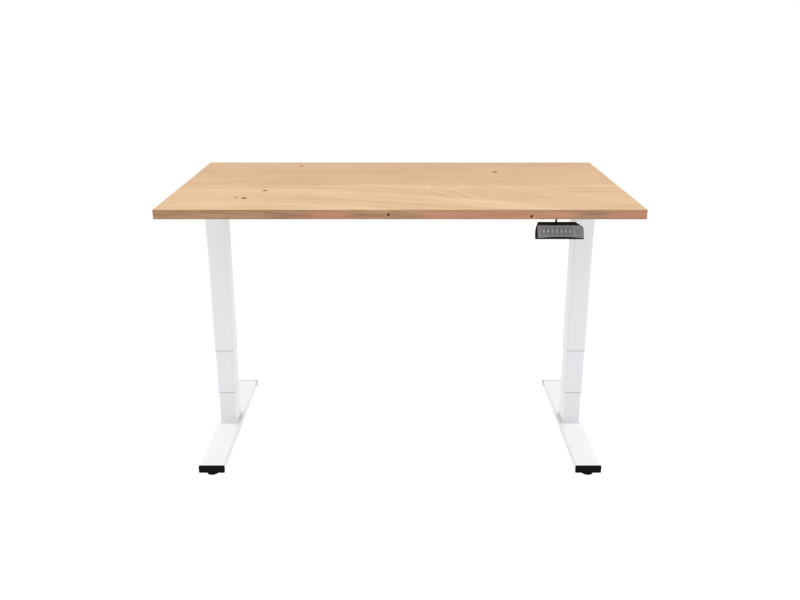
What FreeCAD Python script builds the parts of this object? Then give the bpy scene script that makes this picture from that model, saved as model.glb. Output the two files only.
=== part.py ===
import FreeCAD, Part
import Sketcher
import math
import os
import re

# Height adjustable standing desk. Millimetres, +Z up, +X to the right of the person who sits at it,
# who faces +Y. The origin is on the floor under the middle of the top.

SIZES = {
    # the whole desk, at the height it is stored in
    "desk_height": 880, "top_width": 1400, "top_depth": 800, "top_thick": 28, "top_edge": 1.5,
    "leg_spacing": 1206,
    # feet
    "foot_long": 680, "foot_wide": 80, "foot_tall": 25, "foot_wall": 2.5, "foot_corner": 4,
    "cap_thick": 4, "cap_lip": 1.5, "cap_plug": 8, "cap_gap": 0.2, "cap_wall": 2, "cap_corner": 3,
    "glide_tall": 7, "glide_radius": 18, "glide_flare": 2, "glide_inset": 17, "glide_stud": 4,
    "glide_stud_long": 15,
    # three-stage column: each stage is smaller than the one above by two walls and two gaps
    "outer_wide": 68, "outer_deep": 80, "outer_wall": 1.5, "outer_corner": 8,
    "stage_gap": 1, "middle_wall": 1.5, "inner_wall": 2, "inner_inside_corner": 1,
    "outer_low": 306, "middle_low": 149, "middle_head_room": 132, "inner_reach": 351,
    "guide_tall": 30, "collar_tall": 20, "run_gap": 0.15, "rim_tall": 2.5, "rim_inset": 0.3,
    "plate_thick": 5, "plate_margin": 3,
    "bolt_shank": 4, "bolt_head": 7, "bolt_head_tall": 4, "bolt_apart_wide": 34, "bolt_apart_deep": 46,
    "bolt_gap": 0.25, "thread_gap": 0.02, "access_hole": 8,
    # lift screws and their nuts
    "upper_screw": 8, "upper_screw_reach": 263, "screw_slip": 1, "lower_screw_wall": 3,
    "lower_screw_reach": 395, "screw_head_step": 4, "screw_head_tall": 10, "head_slip": 0.3,
    "screw_end": 4, "fit_gap": 0.05, "over": 1,
    "nut_tall": 30, "carrier_tall": 45, "nut_side_gap": 0.05,
    # gear head and motor
    "head_tall": 54, "head_margin": 0.5, "head_wall": 5, "head_floor": 4,
    "bearing_ring": 8, "bearing_tall": 9, "screw_pass": 0.5,
    "wheel_radius": 22, "wheel_tall": 14, "wheel_gap": 0.3, "wheel_room": 1,
    "worm_radius": 8, "worm_long": 30, "worm_shaft": 3, "worm_room": 1, "worm_end_room": 6,
    "shaft_wall": 1, "shaft_end_gap": 1,
    "motor_radius": 25, "motor_long": 80, "motor_flange": 6, "motor_flange_wide": 52,
    "motor_boss_radius": 12, "motor_boss_long": 8, "shaft_in_motor": 60,
    # frame under the top
    "arm_long": 560, "arm_gap": 0.5, "arm_web": 3, "arm_flange": 2.5, "arm_tall": 40, "arm_tip": 15,
    "arm_straight": 260, "arm_notch_margin": 3,
    "rail_wide": 20, "rail_tall": 40, "rail_wall": 2, "rail_apart": 220,
    # wood screws
    "wood_shank": 2.4, "wood_bite": 18, "wood_head": 5, "wood_head_tall": 3,
    "arm_screw_outer": 255, "arm_screw_inner": 170,
    # control box
    "box_long": 230, "box_deep": 90, "box_tall": 34, "box_wall": 2, "box_x": 60,
    "lid_thick": 3, "lid_ear": 14, "board_thick": 1.6, "board_gap": 3, "board_margin": 3,
    "post_radius": 4, "post_inset": 14, "socket_deep": 3, "socket_long": 20,
    "inlet_wide": 27, "inlet_tall": 20, "plug_wide": 16, "plug_tall": 12,
    "hand_plug_wide": 12, "hand_plug_tall": 8, "coil_radius": 13, "coil_tall": 18, "coil_y": -18,
    "can_radius": 8, "can_tall": 20, "can_y": -20, "can_first": 20, "can_pitch": 22,
    # handset, in its own tilted frame: wide along X, tall up the face, deep into the body
    "hand_x": 456.8, "hand_y": 389.5, "hand_drop": 39.3, "hand_tilt": 30,
    "hand_wide": 136, "hand_tall": 42.2, "hand_deep": 23.4, "hand_rise": 16.5, "hand_floor_rise": 6.2,
    "hand_wall": 2, "hand_back_wall": 4, "hand_waist": 4.5, "hand_end_radius": 90, "hand_end_low": 4,
    "hand_end_corner": 10, "hand_cut_wide": 9, "hand_cut_tall": 6.5, "hand_cut_back": 18,
    "hand_left_rim": 4.5, "hand_right_rim": 1, "hand_low_rim": 2.8, "hand_high_rim": 0.8,
    "face_thick": 2, "face_gap": 0.1, "window_wide": 18, "window_tall": 23, "window_x": 53.2,
    "window_z": 0.3, "window_behind": 1.2,
    "key_wide": 9.6, "key_tall": 20, "key_pitch": 12.6, "key_first": -46, "key_z": 2, "key_gap": 0.3,
    "key_proud": 0.8, "key_skirt": 0.9, "key_skirt_thick": 1, "key_skirt_gap": 0.1, "key_corner": 1.2,
    "hand_board_y": 4.4, "hand_board_wide": 106, "hand_board_tall": 20,
    "neck_wide": 3, "neck_deep": 18, "neck_x": 450, "neck_sink": 3,
    "ear_wide": 60, "ear_deep": 26, "ear_thick": 3, "ear_screw_apart": 44,
}
LEGS = (("left", "-"), ("right", ""))
ENDS = (("front", "-"), ("rear", ""))
KEYS = ("down", "up", "one", "two", "three", "four", "store")

doc = FreeCAD.newDocument("standing_desk")
sheet = doc.addObject("Spreadsheet::Sheet", "Sizes")
for row, (alias, number) in enumerate(SIZES.items(), start=1):
    sheet.set("A%d" % row, alias)
    sheet.set("B%d" % row, str(number))
    sheet.setAlias("B%d" % row, alias)
doc.recompute()

finished = []


def sized(formula):
    """A formula on the sheet's names, written out as the expression that FreeCAD reads."""
    return re.sub(r"[a-z_]+", lambda word: "Sizes." + word.group() if word.group() in SIZES else word.group(),
                  formula)


def bind(item, **formulas):
    for name, formula in formulas.items():
        item.setExpression(name, sized(formula))
    return item


def place(item, x="0", y="0", z="0", turn=0, axis=(0, 0, 1)):
    """Stand an object at a point of the desk, turned by a fixed angle about an axis."""
    item.Placement = FreeCAD.Placement(FreeCAD.Vector(), FreeCAD.Rotation(FreeCAD.Vector(*axis), turn))
    for letter, formula in (("x", x), ("y", y), ("z", z)):
        item.setExpression("Placement.Base." + letter, sized(formula))
    return item


def keep(item, label):
    """Give a finished piece its name and put it on the list of what is exported."""
    item.Label = label
    finished.append(item)
    return item


# ---- primitives and booleans -------------------------------------------------------------------

def rod(name, radius, tall, x="0", y="0", z="0", along="Z"):
    cylinder = bind(doc.addObject("Part::Cylinder", name), Radius=radius, Height=tall)
    if along == "X":
        return place(cylinder, x, y, z, 90, (0, 1, 0))
    if along == "Y":
        return place(cylinder, x, y, z, -90, (1, 0, 0))
    return place(cylinder, x, y, z)


def block(name, wide, deep, tall, x="0", y="0", z="0"):
    """A box centred on x and y that stands on z."""
    box = bind(doc.addObject("Part::Box", name), Length=wide, Width=deep, Height=tall)
    return place(box, "%s - (%s) / 2" % (x, wide), "%s - (%s) / 2" % (y, deep), z)


def cut(name, base, tools):
    for number, tool in enumerate(tools):
        step = doc.addObject("Part::Cut", "%s_cut%d" % (name, number))
        step.Base = base
        step.Tool = tool
        base = step
    return base


def fuse(name, shapes):
    whole = doc.addObject("Part::MultiFuse", name)
    whole.Shapes = shapes
    whole.Refine = True
    return whole


def group(name, shapes):
    """Identical loose pieces that share a node."""
    pieces = doc.addObject("Part::Compound", name)
    pieces.Links = shapes
    return pieces


# ---- sketched bodies ---------------------------------------------------------------------------

def new_sketch(body, plane, name):
    sketch = body.newObject("Sketcher::SketchObject", name)
    origin_plane = [feature for feature in body.Origin.OriginFeatures if feature.Role == plane][0]
    sketch.AttachmentSupport = [(origin_plane, "")]
    sketch.MapMode = "FlatFace"
    return sketch


def fix_point(sketch, line, end, across, up):
    for kind, formula in (("DistanceX", across), ("DistanceY", up)):
        number = sketch.addConstraint(Sketcher.Constraint(kind, line, end, 1.0))
        sketch.setExpression("Constraints[%d]" % number, sized(formula))


def outline(sketch, points):
    """A closed outline of straight lines whose corners are formulas."""
    count = len(points)
    start = len(sketch.Geometry)
    ring = [FreeCAD.Vector(20 * math.cos(2 * math.pi * i / count), 20 * math.sin(2 * math.pi * i / count), 0)
            for i in range(count)]
    for i in range(count):
        sketch.addGeometry(Part.LineSegment(ring[i], ring[(i + 1) % count]))
    for i in range(count):
        sketch.addConstraint(Sketcher.Constraint("Coincident", start + i, 2, start + (i + 1) % count, 1))
        fix_point(sketch, start + i, 1, *points[i])


def rectangle(sketch, wide, tall, across="0", up="0"):
    left, right = "%s - (%s) / 2" % (across, wide), "%s + (%s) / 2" % (across, wide)
    low, high = "%s - (%s) / 2" % (up, tall), "%s + (%s) / 2" % (up, tall)
    outline(sketch, [(left, low), (right, low), (right, high), (left, high)])


def circle(sketch, radius, across="0", up="0"):
    number = sketch.addGeometry(Part.Circle(FreeCAD.Vector(1, 1, 0), FreeCAD.Vector(0, 0, 1), 1))
    fix_point(sketch, number, 3, across, up)
    size = sketch.addConstraint(Sketcher.Constraint("Radius", number, 1.0))
    sketch.setExpression("Constraints[%d]" % size, sized(radius))


def pad(body, sketch, long, both_ways=False, kind="Pad", backwards=False):
    feature = body.newObject("PartDesign::" + kind, sketch.Name + "_" + kind.lower())
    feature.Profile = sketch
    bind(feature, Length=long)
    feature.SideType = "Symmetric" if both_ways else "One side"
    feature.Reversed = backwards
    sketch.Visibility = False
    doc.recompute()
    return feature


def pocket(body, sketch, long, both_ways=False, backwards=False):
    """A pocket that has to take something away."""
    before = body.Shape.Volume
    feature = pad(body, sketch, long, both_ways, "Pocket", backwards)
    if body.Shape.Volume > before - 1e-6:
        raise ValueError("%s cuts nothing" % feature.Name)
    return feature


def straight_edges(shape, direction):
    """Names of the straight edges along a direction, or of all of them."""
    names = []
    for number, edge in enumerate(shape.Edges, start=1):
        if edge.Curve.TypeId != "Part::GeomLine":
            continue
        along = edge.tangentAt(edge.FirstParameter)
        if direction is None or abs(abs(along.dot(FreeCAD.Vector(*direction))) - 1) < 1e-6:
            names.append("Edge%d" % number)
    return names


def round_off(body, radius, direction=None):
    """Fillet the straight edges along a direction, or all of them."""
    base = body.Tip
    names = straight_edges(base.Shape, direction)
    if not names:
        raise ValueError("%s has no edge to round" % body.Name)
    feature = body.newObject("PartDesign::Fillet", body.Name + "_fillet")
    feature.Base = (base, names)
    bind(feature, Radius=radius)
    doc.recompute()
    return feature


def bar(name, wide, deep, long, corner, plane="XY_Plane"):
    """A rectangular bar with rounded corners. It starts on the plane, or is centred on it along Y."""
    body = doc.addObject("PartDesign::Body", name)
    sketch = new_sketch(body, plane, name + "_outline")
    rectangle(sketch, wide, deep)
    pad(body, sketch, long, both_ways=plane != "XY_Plane")
    round_off(body, corner, (0, 0, 1) if plane == "XY_Plane" else (0, 1, 0))
    return body


def tube(name, wide, deep, long, wall, corner, inside_corner, plane="XY_Plane"):
    """A rectangular tube with rounded corners, open at both ends."""
    inside = bar(name + "_inside", "%s - 2 * (%s)" % (wide, wall), "%s - 2 * (%s)" % (deep, wall),
                 long + " + 2", inside_corner, plane)
    if plane == "XY_Plane":
        place(inside, z="-1")
    return cut(name, bar(name + "_outside", wide, deep, long, corner, plane), [inside])


# ---- desk ---------------------------------------------------------------------------------------

underside = "(desk_height - top_thick)"
arm_web_low = "(desk_height - top_thick - arm_web)"
foot_top = "(glide_tall + foot_tall)"
plate_top = "(glide_tall + foot_tall + plate_thick)"
head_low = "(desk_height - top_thick - arm_web - head_tall)"
middle_wide = "(outer_wide - 2 * outer_wall - 2 * stage_gap)"
middle_deep = "(outer_deep - 2 * outer_wall - 2 * stage_gap)"
middle_corner = "(outer_corner - outer_wall - stage_gap)"
inner_wide = "(outer_wide - 2 * outer_wall - 4 * stage_gap - 2 * middle_wall)"
inner_deep = "(outer_deep - 2 * outer_wall - 4 * stage_gap - 2 * middle_wall)"
inner_corner = "(outer_corner - outer_wall - 2 * stage_gap - middle_wall)"
middle_long = "(%s - middle_head_room - middle_low - rim_tall)" % head_low
middle_top = "(%s - middle_head_room)" % head_low
inner_top = "(middle_low + inner_reach)"
lower_screw = "(upper_screw + screw_slip + lower_screw_wall)"
screw_head = "(upper_screw + screw_slip + lower_screw_wall + screw_head_step)"
bearing_radius = "(upper_screw + bearing_ring)"
head_wide = "(outer_wide + 2 * head_margin)"
arm_wide = "(outer_wide + 2 * head_margin + 2 * arm_gap + 2 * arm_flange)"
wheel_low = "(%s + head_floor + bearing_tall + wheel_gap)" % head_low
worm_level = "(%s + wheel_tall / 2)" % wheel_low
worm_offset = "(wheel_radius + worm_radius + wheel_gap)"
head_back = "(outer_deep / 2)"
head_front = "(%s + worm_radius + worm_room + head_wall)" % worm_offset
wood_points = []


def wood_screw_at(x, y, seat):
    """Remember a wood screw that goes up into the top, and the level that its head bears on."""
    wood_points.append((x, y, seat))


def bolt_spots(side):
    """Name and place of each foot bolt, measured from the middle of its foot."""
    spots = []
    for hand, across in (("left", "-"), ("right", "")):
        for end, along in ENDS:
            spots.append(("%s_bolt_%s_%s" % (side, hand, end), across + "bolt_apart_wide / 2",
                          along + "bolt_apart_deep / 2"))
    return spots


def foot(side, x):
    """Foot beam: rectangular tube with stud holes and bolt holes, and a plug-in cap at each end."""
    beam_long = "(foot_long - 2 * cap_thick)"
    beam = tube(side + "_foot_beam", "foot_wide", "foot_tall", beam_long, "foot_wall", "foot_corner",
                "foot_corner - foot_wall", plane="XZ_Plane")
    holes = []
    for end, sign in ENDS:
        holes.append(rod("%s_%s_stud_hole" % (side, end), "glide_stud + fit_gap", "foot_tall", "0",
                         "%s(foot_long / 2 - glide_inset)" % sign, "-foot_tall"))
    for name, across, along in bolt_spots(side):
        holes.append(rod(name + "_access", "access_hole", "foot_tall", across, along, "-foot_tall"))
        holes.append(rod(name + "_clear", "bolt_shank + bolt_gap", "foot_tall", across, along))
    beam = cut(side + "_drilled", beam, holes)
    place(beam, x, "0", "glide_tall + foot_tall / 2")
    keep(beam, side + "_foot_beam")

    caps = []
    level = "glide_tall + foot_tall / 2"
    for end, sign in ENDS:
        name = "%s_%s_cap" % (side, end)
        plate = bar(name + "_plate", "foot_wide + 2 * cap_lip", "foot_tall", "cap_thick", "cap_corner",
                    "XZ_Plane")
        place(plate, x, sign + "(foot_long / 2 - cap_thick / 2)", level)
        plug = bar(name + "_plug", "foot_wide - 2 * foot_wall - 2 * cap_gap",
                   "foot_tall - 2 * foot_wall - 2 * cap_gap", "cap_plug", "foot_corner - foot_wall", "XZ_Plane")
        well = bar(name + "_well", "foot_wide - 2 * foot_wall - 2 * cap_gap - 2 * cap_wall",
                   "foot_tall - 2 * foot_wall - 2 * cap_gap - 2 * cap_wall", "cap_plug", "cap_wall / 2",
                   "XZ_Plane")
        for piece in (plug, well):
            place(piece, x, sign + "(foot_long / 2 - cap_thick - cap_plug / 2)", level)
        caps.append(cut(name, fuse(name + "_whole", [plate, plug]), [well]))
    keep(group(side + "_cap_pair", caps), side + "_foot_caps")

    for end, sign in ENDS:
        y = "%s(foot_long / 2 - glide_inset)" % sign
        name = "%s_%s_glide" % (side, end)
        base = bind(doc.addObject("Part::Cone", name + "_pad"), Radius1="glide_radius",
                    Radius2="glide_radius - glide_flare", Height="glide_tall")
        place(base, x, y)
        stud = rod(name + "_stud", "glide_stud", "glide_stud_long", x, y, "glide_tall")
        keep(fuse(name, [base, stud]), name)


def column(side, x):
    """Base plate, three tubes, their plastic guides, both lift screws and their nuts."""
    plate = block(side + "_plate", inner_wide + " + 2 * plate_margin", inner_deep + " + 2 * plate_margin",
                  "plate_thick", x, "0", foot_top)
    holes = [rod(name + "_thread", "bolt_shank + thread_gap", "plate_thick + 2 * over",
                 "%s + %s" % (x, across), along, foot_top + " - over")
             for name, across, along in bolt_spots(side)]
    keep(cut(side + "_plate", plate, holes), side + "_base_plate")

    inner = tube(side + "_inner_tube", inner_wide, inner_deep, inner_top + " - " + plate_top, "inner_wall",
                 inner_corner, "inner_inside_corner")
    keep(place(inner, x, "0", plate_top), side + "_inner_tube")
    middle = tube(side + "_middle_tube", middle_wide, middle_deep, middle_long, "middle_wall",
                  middle_corner, middle_corner + " - middle_wall")
    keep(place(middle, x, "0", "middle_low + rim_tall"), side + "_middle_tube")
    outer = tube(side + "_outer_tube", "outer_wide", "outer_deep", head_low + " - outer_low - rim_tall",
                 "outer_wall", "outer_corner", "outer_corner - outer_wall")
    keep(place(outer, x, "0", "outer_low + rim_tall"), side + "_outer_tube")

    sleeve = "(stage_gap - run_gap)"

    def head_sleeve(name, wide, deep, corner, top):
        """Guide that sits around the head of a tube and runs in the tube outside it."""
        ring = tube("%s_%s" % (side, name), "%s + 2 * %s" % (wide, sleeve), "%s + 2 * %s" % (deep, sleeve),
                    "guide_tall", sleeve, "%s + %s" % (corner, sleeve), corner)
        return place(ring, x, "0", top + " - guide_tall")

    def foot_collar(name, wide, deep, corner, wall, low):
        """Guide in the foot of a tube, around the tube inside it, with a rim under the wall's end."""
        ring = tube("%s_%s_ring" % (side, name), wide + " + 2 * stage_gap", deep + " + 2 * stage_gap",
                    "collar_tall", sleeve, corner + " + stage_gap", corner + " + run_gap")
        reach = "(stage_gap + %s - rim_inset)" % wall
        rim = tube("%s_%s_rim" % (side, name), "%s + 2 * %s" % (wide, reach), "%s + 2 * %s" % (deep, reach),
                   "rim_tall", reach + " - run_gap", "%s + %s" % (corner, reach), corner + " + run_gap")
        return fuse("%s_%s" % (side, name), [place(ring, x, "0", low), place(rim, x, "0", low)])

    keep(head_sleeve("inner_sleeve", inner_wide, inner_deep, inner_corner, inner_top), side + "_inner_guide")
    keep(foot_collar("outer_collar", middle_wide, middle_deep, middle_corner, "outer_wall", "outer_low"),
         side + "_outer_guide")
    keep(group(side + "_middle_pair",
               [head_sleeve("middle_sleeve", middle_wide, middle_deep, middle_corner, middle_top),
                foot_collar("middle_collar", inner_wide, inner_deep, inner_corner, "middle_wall",
                            "middle_low")]),
         side + "_middle_guides")

    def nut(name, wide, deep, corner, tall, z, bore):
        body = doc.addObject("PartDesign::Body", name)
        sketch = new_sketch(body, "XY_Plane", name + "_outline")
        rectangle(sketch, wide + " - 2 * nut_side_gap", deep + " - 2 * nut_side_gap")
        pad(body, sketch, tall)
        round_off(body, corner, (0, 0, 1))
        hole = new_sketch(body, "XY_Plane", name + "_bore")
        circle(hole, bore)
        pocket(body, hole, tall, backwards=True)
        return place(body, x, "0", z)

    keep(nut(side + "_low_nut", inner_wide + " - 2 * inner_wall", inner_deep + " - 2 * inner_wall",
             "inner_inside_corner", "nut_tall", inner_top + " - nut_tall", lower_screw + " + fit_gap"),
         side + "_lower_nut")
    carrier = nut(side + "_carrier", middle_wide + " - 2 * middle_wall", middle_deep + " - 2 * middle_wall",
                  middle_corner + " - middle_wall", "carrier_tall", middle_top + " - carrier_tall",
                  "upper_screw + fit_gap")
    seat = new_sketch(carrier, "XY_Plane", side + "_carrier_seat")
    circle(seat, screw_head + " + head_slip")
    pocket(carrier, seat, "carrier_tall - nut_tall", backwards=True)
    keep(carrier, side + "_upper_nut")

    head_z = middle_top + " - nut_tall - head_slip - screw_head_tall"
    shaft = fuse(side + "_low_shaft",
                 [rod(side + "_low_rod", lower_screw, "lower_screw_reach", x, "0",
                      head_z + " + screw_head_tall - lower_screw_reach"),
                  rod(side + "_low_head", screw_head, "screw_head_tall", x, "0", head_z)])
    bore = rod(side + "_low_bore", "upper_screw + screw_slip", "lower_screw_reach + 2 * screw_head_tall", x, "0",
               head_z + " - lower_screw_reach")
    keep(cut(side + "_low", shaft, [bore]), side + "_lower_screw")
    screw_low = middle_top + " - upper_screw_reach"
    keep(rod(side + "_up_rod", "upper_screw", "%s + wheel_tall + screw_end - (%s)" % (wheel_low, screw_low), x, "0",
             screw_low), side + "_upper_screw")


def drive(side, x):
    """Gear head on the outer tube, worm wheel on the upper screw, worm, and motor on the inboard side."""
    inboard, front = ("+", "") if side == "left" else ("-", "-")
    worm_y = "(%s%s)" % (front, worm_offset)
    shift = "%s(%s - %s) / 2" % (front, head_front, head_back)
    housing = block(side + "_head", head_wide, "%s + %s" % (head_front, head_back), "head_tall", x, shift, head_low)
    room = rod(side + "_wheel_room", "wheel_radius + wheel_room", "head_tall", x, "0",
               head_low + " + head_floor + bearing_tall")
    seat = rod(side + "_bearing_seat", bearing_radius, "head_tall", x, "0", head_low + " + head_floor")
    pass_hole = rod(side + "_head_bore", "upper_screw + screw_pass", "head_floor + 2 * over", x, "0",
                    head_low + " - over")
    if inboard == "+":
        start = "%s - worm_long / 2 - worm_end_room" % x
    else:
        start = "%s - %s / 2 - over" % (x, head_wide)
    worm_room = rod(side + "_worm_room", "worm_radius + worm_room",
                    "worm_long / 2 + %s / 2 + worm_end_room + over" % head_wide, start, worm_y, worm_level, "X")
    shaft_hole = rod(side + "_shaft_hole", "worm_shaft + fit_gap", head_wide + " - 2 * shaft_wall",
                     "%s - %s / 2 + shaft_wall" % (x, head_wide), worm_y, worm_level, "X")
    keep(cut(side + "_head", housing, [room, seat, pass_hole, worm_room, shaft_hole]), side + "_gear_housing")

    ring = cut(side + "_bearing",
               rod(side + "_bearing_outside", bearing_radius, "bearing_tall", x, "0", head_low + " + head_floor"),
               [rod(side + "_bearing_inside", "upper_screw + fit_gap", "bearing_tall + 2 * over", x, "0",
                    head_low + " + head_floor - over")])
    keep(cut(side + "_wheel", rod(side + "_wheel_blank", "wheel_radius", "wheel_tall", x, "0", wheel_low),
             [rod(side + "_wheel_bore", "upper_screw", "wheel_tall + 2 * over", x, "0",
                  wheel_low + " - over")]),
         side + "_worm_wheel")

    shaft_long = "(%s + shaft_in_motor + motor_flange - shaft_wall - shaft_end_gap)" % head_wide
    if inboard == "+":
        shaft_start = "%s - %s / 2 + shaft_wall + shaft_end_gap" % (x, head_wide)
    else:
        shaft_start = "%s - %s / 2 - motor_flange - shaft_in_motor" % (x, head_wide)
    keep(fuse(side + "_worm_whole",
              [rod(side + "_worm_shaft", "worm_shaft", shaft_long, shaft_start, worm_y, worm_level, "X"),
               rod(side + "_worm_thread", "worm_radius", "worm_long", "%s - worm_long / 2" % x, worm_y,
                   worm_level, "X")]), side + "_motor_worm")

    def along(distance, long):
        """Where a motor piece starts whose near end is this far inboard of the gear head."""
        if inboard == "+":
            return "%s + %s / 2 + %s" % (x, head_wide, distance)
        return "%s - %s / 2 - %s - %s" % (x, head_wide, distance, long)

    flange = block(side + "_motor_flange", "motor_flange", "motor_flange_wide", "motor_flange_wide",
                   "(%s %s (%s / 2 + motor_flange / 2))" % (x, inboard, head_wide), worm_y,
                   worm_level + " - motor_flange_wide / 2")
    can = rod(side + "_motor_can", "motor_radius", "motor_long", along("motor_flange", "motor_long"), worm_y,
              worm_level, "X")
    boss = rod(side + "_motor_boss", "motor_boss_radius", "motor_boss_long",
               along("(motor_flange + motor_long)", "motor_boss_long"), worm_y, worm_level, "X")
    shaft_room = rod(side + "_motor_bore", "worm_shaft + fit_gap", "shaft_in_motor + motor_flange + 2 * over",
                     along("-over", "(shaft_in_motor + motor_flange + 2 * over)"), worm_y, worm_level, "X")
    keep(cut(side + "_motor", fuse(side + "_motor_whole", [flange, can, boss]), [shaft_room]), side + "_motor")
    return ring


def side_arm(side, x):
    """Folded steel channel that carries one side of the top, tapered towards both ends."""
    arm = doc.addObject("PartDesign::Body", side + "_arm")
    profile = new_sketch(arm, "YZ_Plane", side + "_arm_profile")
    outline(profile, [("-arm_long / 2", "0"), ("-arm_long / 2", "-arm_tip"), ("-arm_straight / 2", "-arm_tall"),
                      ("arm_straight / 2", "-arm_tall"), ("arm_long / 2", "-arm_tip"), ("arm_long / 2", "0")])
    pad(arm, profile, arm_wide, both_ways=True)
    channel = new_sketch(arm, "XZ_Plane", side + "_arm_channel")
    rectangle(channel, arm_wide + " - 2 * arm_flange", "arm_tall", up="-arm_web - arm_tall / 2")
    pocket(arm, channel, "arm_long + 2 * over", both_ways=True)
    notch = new_sketch(arm, "XZ_Plane", side + "_arm_notch")
    rectangle(notch, "2 * arm_flange + over", "arm_tall", arm_wide + " / 2", "-arm_web - arm_tall / 2")
    notch_wide = "motor_flange_wide + 2 * arm_notch_margin"
    bind(notch, **{"AttachmentOffset.Base.z": "-(%s) + (%s) / 2" % (worm_offset, notch_wide)})
    pocket(arm, notch, notch_wide)
    holes = new_sketch(arm, "XY_Plane", side + "_arm_holes")
    for along in ("-arm_screw_outer", "-arm_screw_inner", "arm_screw_inner", "arm_screw_outer"):
        circle(holes, "wood_shank", "0", along)
        wood_screw_at(x, along, arm_web_low)
    pocket(arm, holes, "arm_tall")
    keep(place(arm, x, "0", underside, 0 if side == "left" else 180), side + "_side_arm")


def foot_bolts():
    """Four bolts a foot, up through the beam's top wall into the base plate."""
    bolts = []
    inner_face = foot_top + " - foot_wall"
    for side, sign in LEGS:
        for name, across, along in bolt_spots(side):
            x = "%sleg_spacing / 2 + %s" % (sign, across)
            shank = rod(name + "_shank", "bolt_shank", "foot_wall + plate_thick", x, along, inner_face)
            head = rod(name + "_head", "bolt_head", "bolt_head_tall", x, along, inner_face + " - bolt_head_tall")
            bolts.append(fuse(name, [shank, head]))
    keep(group("bolt_set", bolts), "foot_bolts")


def control_box():
    """Plastic box under the top: lid with screw ears, tray, and the board with its sockets."""
    lid = block("lid_plate", "box_long + 2 * lid_ear", "box_deep", "lid_thick", "box_x", "0",
                underside + " - lid_thick")
    holes = []
    for hand in ("-", "+"):
        for end in ("-", "+"):
            x = "box_x %s (box_long / 2 + lid_ear / 2)" % hand
            y = "0 %s (box_deep / 2 - lid_ear / 2)" % end
            holes.append(rod("lid_hole%d" % len(holes), "wood_shank", "lid_thick + 2 * over", x, y,
                             underside + " - lid_thick - over"))
            wood_screw_at(x, y, underside + " - lid_thick")
    keep(cut("lid", lid, holes), "control_lid")

    low = "(%s - lid_thick - box_tall)" % underside
    tray = block("tray_block", "box_long", "box_deep", "box_tall", "box_x", "0", low)
    hollow = block("tray_hollow", "box_long - 2 * box_wall", "box_deep - 2 * box_wall", "box_tall", "box_x", "0",
                   low + " + box_wall")
    board_low = "(%s + box_wall + board_gap)" % low
    sockets = (("inlet", "inlet_wide", "inlet_tall", "box_x + box_long / 4"),
               ("left_plug", "plug_wide", "plug_tall", "box_x - box_long / 3"),
               ("right_plug", "plug_wide", "plug_tall", "box_x - box_long / 6"),
               ("hand_plug", "hand_plug_wide", "hand_plug_tall", "box_x"))
    ports = [block(name + "_port", wide, "2 * box_wall + 2 * over", tall, x, "box_deep / 2",
                   board_low + " + board_thick")
             for name, wide, tall, x in sockets]
    keep(cut("tray", tray, [hollow] + ports), "control_tray")

    on_board = board_low + " + board_thick"
    board = block("board_plate", "box_long - 2 * box_wall - 2 * board_margin",
                  "box_deep - 2 * box_wall - 2 * board_margin", "board_thick", "box_x", "0", board_low)
    posts = []
    for hand in ("-", "+"):
        for end in ("-", "+"):
            posts.append(rod("board_post%d" % len(posts), "post_radius", "board_gap",
                             "box_x %s (box_long / 2 - post_inset)" % hand,
                             "0 %s (box_deep / 2 - post_inset)" % end, low + " + box_wall"))
    bodies = [block(name + "_socket", wide, "socket_long", tall, x,
                    "box_deep / 2 - socket_deep - socket_long / 2", on_board)
              for name, wide, tall, x in sockets]
    coil = rod("board_coil", "coil_radius", "coil_tall", "box_x + box_long / 4", "coil_y", on_board)
    cans = [rod("board_can%d" % i, "can_radius", "can_tall", "box_x - can_first - %d * can_pitch" % i, "can_y",
                on_board)
            for i in range(3)]
    keep(fuse("board_whole", [board, coil] + posts + bodies + cans), "control_board")


def frame_rails():
    """Two rectangular steel rails that join the side arms."""
    for name, sign in (("front_rail", "-"), ("rear_rail", "")):
        rail = tube(name + "_tube", "rail_tall", "rail_wide", "leg_spacing - " + arm_wide, "rail_wall",
                    "2 * rail_wall", "rail_wall")
        place(rail, "-(leg_spacing - %s) / 2" % arm_wide, sign + "rail_apart / 2",
              arm_web_low + " - rail_tall / 2", 90, (0, 1, 0))
        keep(rail, name)


def in_handset(item, x="0", y="0", z="0"):
    """Place a piece in the handset's tilted frame: x along the face, y into it, z up it."""
    item.Placement = FreeCAD.Placement(FreeCAD.Vector(), FreeCAD.Rotation(FreeCAD.Vector(-1, 0, 0), 1))
    bind(item, **{"Placement.Rotation.Angle": "hand_tilt * 1 deg",
                  "Placement.Base.x": "hand_x + " + x,
                  "Placement.Base.y": "-hand_y + (%s) * cos(hand_tilt) + (%s) * sin(hand_tilt)" % (y, z),
                  "Placement.Base.z": underside + " - hand_drop - (%s) * sin(hand_tilt) + (%s) * cos(hand_tilt)"
                                      % (y, z)})
    return item


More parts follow.
